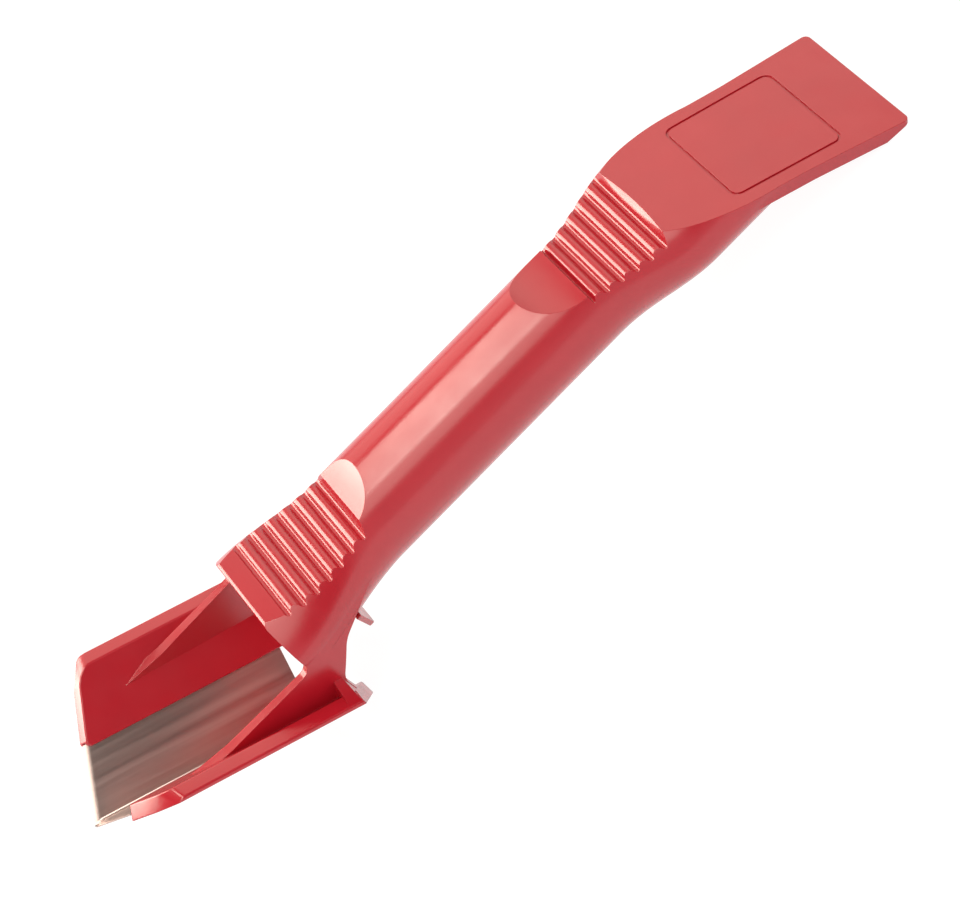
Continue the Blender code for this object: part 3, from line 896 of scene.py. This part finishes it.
@dataclass
class Fork:
    """The fork: two arms, two skid plates at a right angle, their gussets and the finger stop.

    A corner is its place in the view that it is drawn in, with its radius where it has one. The
    pairs of corner_cuts are a cut's share of the turn and its setback as a share of plate_corner.
    """

    tube: TubeHandle
    keel: Keel = field(default_factory=Keel)
    plate_outer: float = 26.4
    plate_face: float = 0.2
    plate_thickness: float = 3.0
    plate_front: float = 3.8
    plate_heel: float = 1.0
    plate_sweep: float = math.radians(20)
    plate_rake: float = 0.95
    plate_rear_x: float = 53.0
    plate_chamfer: float = 1.1
    plate_corner: float = 2.0
    corner_cuts: tuple[Pair, ...] = ((0.25, 0.3), (0.5, 0.45), (0.75, 0.3))
    arm_top: float = -2.7
    arm_front_x: float = 15.0
    arm_bend_x: float = 30.0
    arm_taper: float = math.radians(7)
    arm_front_wall: float = 2.4
    arm_rear_wall: float = 1.6
    arm_depth: float = 60.0
    skirt_top: float = -0.5
    skirt_top_corner: float = 2.2
    skirt_bend: Triple = (59.0, -4.8, 6.0)
    skirt_foot: Pair = (-11.2, 4.0)
    gusset_arm_corners: tuple[Pair, ...] = ((15.1, 13.6), (15.1, 20.6))
    gusset_heel: Pair = (16.6, 15.1)
    gusset_thickness: float = 2.8
    sole: float = 12.7
    stop_x: float = 62.4
    stop_corners: tuple[Triple, ...] = ((12.1, -6.0, 0.0), (9.0, -13.9, 1.5))
    stop_thickness: float = 1.2
    stop_rounding: float = 0.3
    edge_rounding: float = 0.35
    inset: float = 0.1
    overrun: float = 4.0

    @property
    def plate_top(self) -> float:
        """Height of the plates' top faces above the keel."""
        return (self.plate_outer + self.plate_face) * math.cos(self.keel.wing)

    @property
    def plate_corner_across(self) -> float:
        """How far out the plates' outer top corners stand."""
        return self.plate_top + (self.plate_thickness - self.plate_face) / math.sin(self.keel.wing)

    def front_at(self, out: float) -> float:
        """Where a plate's outer face starts, at a distance out along it."""
        return self.plate_front + (out - self.keel.plate_inner) * math.tan(self.plate_sweep)

    def plate(self, side: Side) -> Object:
        """A skid plate with a raked front, a rounded top front corner and soft edges.

        Args:
            side: which plate.

        Returns:
            The plate.
        """
        keel, face = self.keel, self.plate_face
        inner, outer = keel.plate_inner, self.plate_outer + self.plate_thickness + self.overrun
        rear = self.plate_rear_x / math.cos(keel.angle) + self.overrun
        outline = rounded([(rear, outer, 0.0), (rear, inner, 0.0),
                           (self.plate_front, inner, self.plate_heel), (self.front_at(outer), outer, 0.0)])
        back = [keel.wing_point(side, p.x, p.y, face - self.plate_thickness) for p in outline]
        item = prism("plate", back, keel.direction(side, 0, 0, self.plate_thickness))
        for p in outline:
            if p.x < rear:
                edge = keel.wing_point(side, p.x, p.y, face)
                nearest = min(item.data.vertices, key=lambda v: (v.co - edge).length)
                nearest.co = keel.wing_point(side, p.x + self.plate_rake, p.y, face)
        trim(item, keel.point(0, 0, self.plate_top), keel.up)
        trim(item, Vector((self.plate_rear_x, 0, 0)), Vector((1, 0, 0)))
        across = side.value * (self.plate_corner_across - self.plate_chamfer)
        lean = keel.wing / 2
        trim(item, keel.point(0, across, self.plate_top),
             keel.up * math.sin(lean) + Vector((0, side.value * math.cos(lean), 0)))
        ahead = keel.direction(side, -math.cos(self.plate_sweep), math.sin(self.plate_sweep), 0)
        along = self.front_at(self.plate_outer) + self.plate_rake
        corner = keel.wing_point(side, along, self.plate_outer, face)
        for share, setback in self.corner_cuts:
            normal = (ahead * (1 - share) + keel.up * share).normalized()
            trim(item, corner - normal * (self.plate_corner * setback), normal)
        soften(item, self.edge_rounding)
        return item

    def arm_inner(self, x: float) -> float:
        """How far out an arm's inner face stands."""
        share = min(1.0, (x - self.arm_front_x) / (self.tube.mouth_x - self.arm_front_x))
        wall = self.arm_front_wall + (self.arm_rear_wall - self.arm_front_wall) * share
        return self.tube.side_half_width(x) - wall

    def sole_height(self, x: float) -> float:
        """Height of the arms' lower edge, which lies inside the plates."""
        return (self.sole - x * math.sin(self.keel.angle)) / math.cos(self.keel.angle) - self.keel.drop

    def arm(self, side: Side) -> Object:
        """One arm: a side view and a plan shape it together.

        Args:
            side: which arm.

        Returns:
            The arm.
        """
        tube, top = self.tube, self.arm_top
        run = self.sole_height(self.arm_bend_x) - top
        front_x = self.arm_bend_x + run / (math.tan(self.keel.angle) - math.tan(self.arm_taper))
        rear_x = self.plate_rear_x - self.inset
        outline = rounded([
            (front_x, self.sole_height(front_x), 0.0), (self.arm_bend_x, top, 0.0),
            (tube.mouth_x, top, self.skirt_top_corner), (tube.mouth_x, self.skirt_top, 0.0),
            (tube.mouth_x + tube.mouth_flare, self.skirt_top, 0.0), self.skirt_bend,
            (rear_x, *self.skirt_foot), (rear_x, self.sole_height(rear_x), 0.0)])
        item = side_prism("arm", outline, 0.0, side.value * (tube.mouth_side_half_width + self.overrun))
        places = [self.arm_front_x] + spread(tube.mouth_x, tube.mouth_flare, tube.flare_steps)
        outer = [Vector((x, side.value * (tube.side_half_width(x) - self.inset))) for x in places]
        inner = [Vector((x, side.value * self.arm_inner(x))) for x in places]
        plan = plan_prism("arm_plan", outer + inner[::-1], -self.arm_depth, self.overrun)
        combine(item, Join.KEEP_COMMON, plan)
        return item

    def gusset(self, side: Side) -> Object:
        """The web that closes the corner between an arm and its plate at the rear.

        Args:
            side: which arm.

        Returns:
            The web.
        """
        keel = self.keel
        rear = self.plate_rear_x / math.cos(keel.angle) - self.plate_top * math.tan(keel.angle)
        top = (self.plate_corner_across - self.plate_chamfer, self.plate_top - 2 * self.inset)
        outline = [keel.point(rear - self.gusset_thickness, side.value * across, height)
                   for across, height in (*self.gusset_arm_corners, top, self.gusset_heel)]
        item = prism("gusset", outline, keel.back * (self.gusset_thickness + self.overrun))
        trim(item, Vector((self.plate_rear_x - 2 * self.inset, 0, 0)), Vector((1, 0, 0)))
        return item

    def stop(self) -> Object:
        """The finger stop across the underside of the mouth.

        Returns:
            The stop.
        """
        mirrored = [(-across, height, radius) for across, height, radius in self.stop_corners]
        outline = rounded([*mirrored, *reversed(self.stop_corners)])
        item = prism("stop", [Vector((self.stop_x, p.x, p.y)) for p in outline],
                     Vector((self.stop_thickness, 0, 0)))
        soften(item, self.stop_rounding)
        return item

    def throat(self) -> Object:
        """The opening below the mouth, between the arms and in front of the finger stop.

        Returns:
            The cutter.
        """
        mouth = self.tube.mouth_x
        end_x = self.stop_x + self.inset
        places = [mouth - self.overrun] + spread(mouth, end_x - mouth, self.tube.flare_steps)
        near = [Vector((x, self.arm_inner(max(x, mouth)) - self.inset)) for x in places]
        far = [Vector((p.x, -p.y)) for p in reversed(near)]
        return plan_prism("throat", near + far, -self.tube.radius - self.overrun, self.arm_top)


@dataclass
class VBlade:
    """The steel blade: two wings bent from one sheet, with roots that sit in the plates."""

    keel: Keel = field(default_factory=Keel)
    thickness: float = 0.7
    depth: float = 1.3
    length: float = 46.5
    sweep: float = math.radians(18.6)
    bend: float = 1.2
    wing_width: float = 13.1
    root_width: float = 22.5
    root_front: float = 9.5
    root_rear: float = 44.0
    grind: float = 1.4
    grind_overrun: float = 0.4
    edge: float = 0.15
    clearance: float = 0.3
    overrun: float = 4.0

    def slot(self, side: Side, along: Pair, width: float) -> Object:
        """A pocket in a plate for a wing or a root, with clearance all round."""
        half = self.thickness / 2 + self.clearance
        out = (self.keel.plate_inner - self.overrun, width + self.clearance)
        return self.keel.wing_box("slot", side, along, out, (-self.depth - half, half - self.depth))

    def slots(self, side: Side) -> list[Object]:
        """Both pockets in one plate."""
        root = (self.root_front - self.clearance, self.root_rear + self.clearance)
        wing = (-self.overrun, self.length + self.clearance)
        return [self.slot(side, root, self.root_width), self.slot(side, wing, self.wing_width)]

    def root_end(self, side: Side, up: float) -> Vector:
        """The end of a root in the sheet's section, at a height above the wing's plane."""
        return Vector((side.value * (self.root_width - up) * math.sin(self.keel.wing),
                       (self.root_width + up) * math.cos(self.keel.wing)))

    def sheet(self) -> Object:
        """The bent sheet before its ends are cut.

        Returns:
            The sheet.
        """
        outer = -self.depth - self.thickness / 2
        inner = outer + self.thickness
        turn = self.keel.wing
        centre = (0.0, (self.bend + outer) / math.sin(turn))
        outline = [self.root_end(Side.NEAR, inner), self.root_end(Side.NEAR, outer)]
        outline += arc(centre, self.bend, turn - math.pi, -turn)
        outline += [self.root_end(Side.FAR, outer), self.root_end(Side.FAR, inner)]
        outline += arc(centre, self.bend - self.thickness, -turn, turn - math.pi)
        return prism("v_blade", [self.keel.point(-self.overrun, p.x, p.y) for p in outline],
                     self.keel.back * (self.length + self.overrun))

    def notch(self, side: Side, along: Pair) -> Object:
        """What is cut away beside a root, so that only its middle enters the plate."""
        return self.keel.wing_box("notch", side, along, (self.wing_width, self.root_width + self.overrun),
                                  (-self.depth - self.overrun, self.overrun - self.depth))

    def grind_wedge(self, side: Side) -> Object:
        """The wedge ground off the inside of a wing's cutting edge.

        Args:
            side: which wing.

        Returns:
            The cutter.
        """
        inner = self.thickness / 2 - self.depth
        slope = (self.thickness - self.edge) / self.grind
        spare = self.grind_overrun
        section = [(-spare, inner - self.thickness + self.edge - slope * spare),
                   (-spare, inner + slope * spare), (self.grind + spare, inner + slope * spare)]
        low, high = -self.bend, self.wing_width + self.overrun
        outline = [self.keel.wing_point(side, low * math.tan(self.sweep) + a / math.cos(self.sweep), low, u)
                   for a, u in section]
        run = (high - low) * math.tan(self.sweep)
        return prism("grind", outline, self.keel.direction(side, run, high - low, 0))

    def build(self, steel: RolledSteel) -> Object:
        """Make the blade and dress it.

        Args:
            steel: its finish.

        Returns:
            The finished blade.
        """
        item = self.sheet()
        for side in Side:
            ahead = self.keel.direction(side, -math.cos(self.sweep), math.sin(self.sweep), 0)
            trim(item, self.keel.front, ahead)
        for side in Side:
            combine(item, Join.CUT, self.notch(side, (-self.overrun, self.root_front)))
            combine(item, Join.CUT, self.notch(side, (self.root_rear, self.length + self.overrun)))
            combine(item, Join.CUT, self.grind_wedge(side))
        dress(item, steel.material(), smooth_degrees=25)
        return item


@dataclass
class Moulding:
    """The one-piece red body."""

    tube: TubeHandle = field(default_factory=TubeHandle)
    scraper: FlatScraper = field(default_factory=FlatScraper)
    blade: VBlade = field(default_factory=VBlade)

    def build(self, plastic: MouldedPolypropylene) -> Object:
        """Make the body and dress it.

        Args:
            plastic: its finish.

        Returns:
            The finished body.
        """
        fork = Fork(self.tube)
        tip = self.scraper.point(self.scraper.length + self.tube.overrun, 0, 0)
        item = self.tube.shell(self.scraper.point(self.scraper.length - self.scraper.edge_bevel, 0, 0).x)
        item.name = "moulded_body"
        combine(item, Join.ADD, self.scraper.slab())
        combine(item, Join.ADD, fork.stop())
        for side in Side:
            combine(item, Join.ADD, fork.arm(side))
        for cutter in (self.tube.fork_rest(),
                       self.tube.flat_rest(self.scraper.crest, Vector((tip.x, tip.z))),
                       self.scraper.crest_cutter(), self.scraper.bevel_cutter(),
                       self.scraper.groove_cutter(), self.tube.bore(), fork.throat()):
            combine(item, Join.CUT, cutter)
        for side in Side:
            combine(item, Join.ADD, fork.plate(side))
            combine(item, Join.ADD, fork.gusset(side))
            for slot in self.blade.slots(side):
                combine(item, Join.CUT, slot)
        dress(item, plastic.material(), smooth_degrees=30)
        return item


@dataclass(frozen=True)
class Softbox:
    """A rectangular softbox: its place, its length and width, and which way the length runs.

    Its level is how bright its face is, where white paper in the room is 1.
    """

    name: str
    place: Triple
    size: Pair
    level: float
    along: Triple
    tint: Triple = (1.0, 0.9, 0.78)

    def hang(self, aim: Vector) -> None:
        """Make the lamp and turn it to a point.

        Args:
            aim: the point.
        """
        lamp = bpy.data.lights.new(self.name, "AREA")
        lamp.shape = "RECTANGLE"
        lamp.size, lamp.size_y = self.size
        lamp.energy = self.level * math.pi * self.size[0] * self.size[1]
        lamp.color = self.tint
        item = bpy.data.objects.new(self.name, lamp)
        back = (Vector(self.place) - aim).normalized()
        along = Vector(self.along)
        side = (along - back * along.dot(back)).normalized()
        turn = Matrix((side, back.cross(side), back)).transposed().to_4x4()
        item.matrix_world = Matrix.Translation(self.place) @ turn
        bpy.context.scene.collection.objects.link(item)


@dataclass
class Studio:
    """A white table under soft lamps, with the camera at the photograph's viewing angle.

    A span is the cosines of the angle to a direction between which the room's level changes.
    """

    table_half: float = 1.5
    table_colour: str = "f4f4f4"
    table_roughness: float = 0.9
    table_glow: float = 0.92
    table_shade: str = "707070"
    lamps: tuple[Softbox, ...] = (
        Softbox("overhead_strip", (0.04, 0.07, 0.745), (0.85, 0.12), 9.0, (0, 1, 0)),
        Softbox("back_left_strip", (-0.46, 0.6, 0.37), (0.8, 0.32), 9.5, (-0.62, 0, -0.785)),
        Softbox("back_softbox", (0.34, 0.8, 0.38), (1.0, 0.7), 1.5, (1, 0, 0)),
        Softbox("front_softbox", (-0.1, -0.47, 0.74), (0.55, 0.5), 2.0, (1, 0, 0)))
    lens: float = 119.27
    camera_mm: Triple = (79.195, -394.335, 448.673)
    right: Triple = (0.64668894, -0.50495129, -0.57167965)
    up: Triple = (0.75139848, 0.55058703, 0.36366776)
    back: Triple = (0.13112489, -0.66473914, 0.73547817)
    aim: Vector = field(default_factory=lambda: Vector((0, 0, 0.02)))
    front: Triple = (0.0, -1.0, 0.0)
    front_span: Pair = (-0.4, 0.4)
    front_level: float = 0.65
    back_level: float = 0.1
    flag: Triple = (0.53, -0.72, 0.448)
    flag_span: Pair = (0.78, 0.96)
    flag_level: float = 0.06

    def background_mask(self, tree: NodeTree) -> NodeSocket:
        """A mask of the rays that see the background.

        Args:
            tree: the node tree that gets the nodes.

        Returns:
            A socket that is 1 for those rays.
        """
        path = add_node(tree, "LightPath")
        mask = path.outputs[SeenBy.CAMERA.value]
        for kind in (SeenBy.GLOSSY, SeenBy.TRANSMISSION):
            mask = add_node(tree, "Math", {"operation": "MAXIMUM"},
                            links={0: mask, 1: path.outputs[kind.value]}).outputs[0]
        return mask

    def table(self) -> Object:
        """A plain white table top that keeps the tool's shadow.

        Returns:
            The table top.
        """
        bpy.ops.object.select_all(action="DESELECT")
        bpy.ops.mesh.primitive_plane_add(size=2 * self.table_half)
        item = bpy.context.active_object
        item.name = "table_top"
        result, tree, shader = blank_material("white_card")
        shader.inputs["Base Color"].default_value = linear(self.table_colour)
        shader.inputs["Roughness"].default_value = self.table_roughness
        glow = add_node(tree, "Emission", values={"Strength": self.table_glow})
        soft = add_node(tree, "BsdfDiffuse", values={"Color": linear(self.table_shade)})
        both = add_node(tree, "AddShader", links={0: glow.outputs[0], 1: soft.outputs[0]})
        mix = add_node(tree, "MixShader",
                       links={"Fac": self.background_mask(tree), 1: shader.outputs[0], 2: both.outputs[0]})
        tree.links.new(mix.outputs[0], tree.nodes["Material Output"].inputs["Surface"])
        item.data.materials.append(result)
        return item

    def towards(self, tree: NodeTree, direction: Triple,
                span: Pair, levels: Pair) -> NodeSocket:
        """A brightness of the room that changes smoothly towards a direction.

        Args:
            tree: the node tree that gets the nodes.
            direction: the direction, of length 1.
            span: cosines of the angle to it between which the brightness changes.
            levels: the brightness at each end of the span.

        Returns:
            A socket with the brightness.
        """
        place = add_node(tree, "TexCoord")
        cosine = add_node(tree, "VectorMath", {"operation": "DOT_PRODUCT"}, {1: direction},
                          {0: place.outputs["Generated"]})
        return add_node(tree, "MapRange", {"interpolation_type": "SMOOTHSTEP"},
                        {"From Min": span[0], "From Max": span[1], "To Min": levels[0], "To Max": levels[1]},
                        {"Value": cosine.outputs["Value"]}).outputs["Result"]

    def room(self) -> None:
        """A room that is light in front and dim behind, with a dark flag, and white to the camera."""
        world = bpy.data.worlds.new("studio_room")
        world.use_nodes = True
        tree = world.node_tree
        path = add_node(tree, "LightPath")
        front = self.towards(tree, self.front, self.front_span, (self.back_level, self.front_level))
        open_room = self.towards(tree, self.flag, self.flag_span, (1.0, self.flag_level))
        flagged = add_node(tree, "Math", {"operation": "MULTIPLY"}, links={0: front, 1: open_room})
        strength = add_node(tree, "Math", {"operation": "MAXIMUM"},
                            links={0: flagged.outputs[0], 1: path.outputs[SeenBy.CAMERA.value]})
        seen = add_node(tree, "Background", values={"Color": linear("ffffff")},
                        links={"Strength": strength.outputs[0]})
        fill = tree.nodes["Background"]
        fill.inputs["Color"].default_value = linear("ffffff")
        tree.links.new(front, fill.inputs["Strength"])
        mix = add_node(tree, "MixShader",
                       links={"Fac": self.background_mask(tree), 1: fill.outputs[0], 2: seen.outputs[0]})
        tree.links.new(mix.outputs[0], tree.nodes["World Output"].inputs["Surface"])
        bpy.context.scene.world = world

    def camera(self) -> None:
        """The camera at the photograph's viewing angle."""
        data = bpy.data.cameras.new("photo_camera")
        data.lens = self.lens
        data.sensor_width = 36.0
        data.clip_start = 0.01
        item = bpy.data.objects.new("photo_camera", data)
        turn = Matrix((self.right, self.up, self.back)).transposed().to_4x4()
        item.matrix_world = Matrix.Translation(Vector(self.camera_mm) * METRES) @ turn
        bpy.context.scene.collection.objects.link(item)
        bpy.context.scene.camera = item

    def build(self) -> Object:
        """Set up the camera, the lights and the table, and return the table."""
        self.camera()
        self.room()
        for lamp in self.lamps:
            lamp.hang(self.aim)
        return self.table()


def main() -> None:
    """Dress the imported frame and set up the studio."""
    logging.basicConfig(level=logging.INFO, format="%(message)s")
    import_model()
    bpy.context.scene.view_settings.view_transform = "Standard"
    pieces = ((Moulding().build(MouldedPolypropylene()), "handle_body", "red_plastic"),
              (VBlade().build(RolledSteel()), "cutting_blade", "steel"))
    for piece, node, slot in pieces:
        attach(piece, "root")
        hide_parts(node)
        LOG.info("%s: %d faces", piece.name, len(piece.data.polygons))
    Studio().build()


if __name__ == "__main__":
    main()
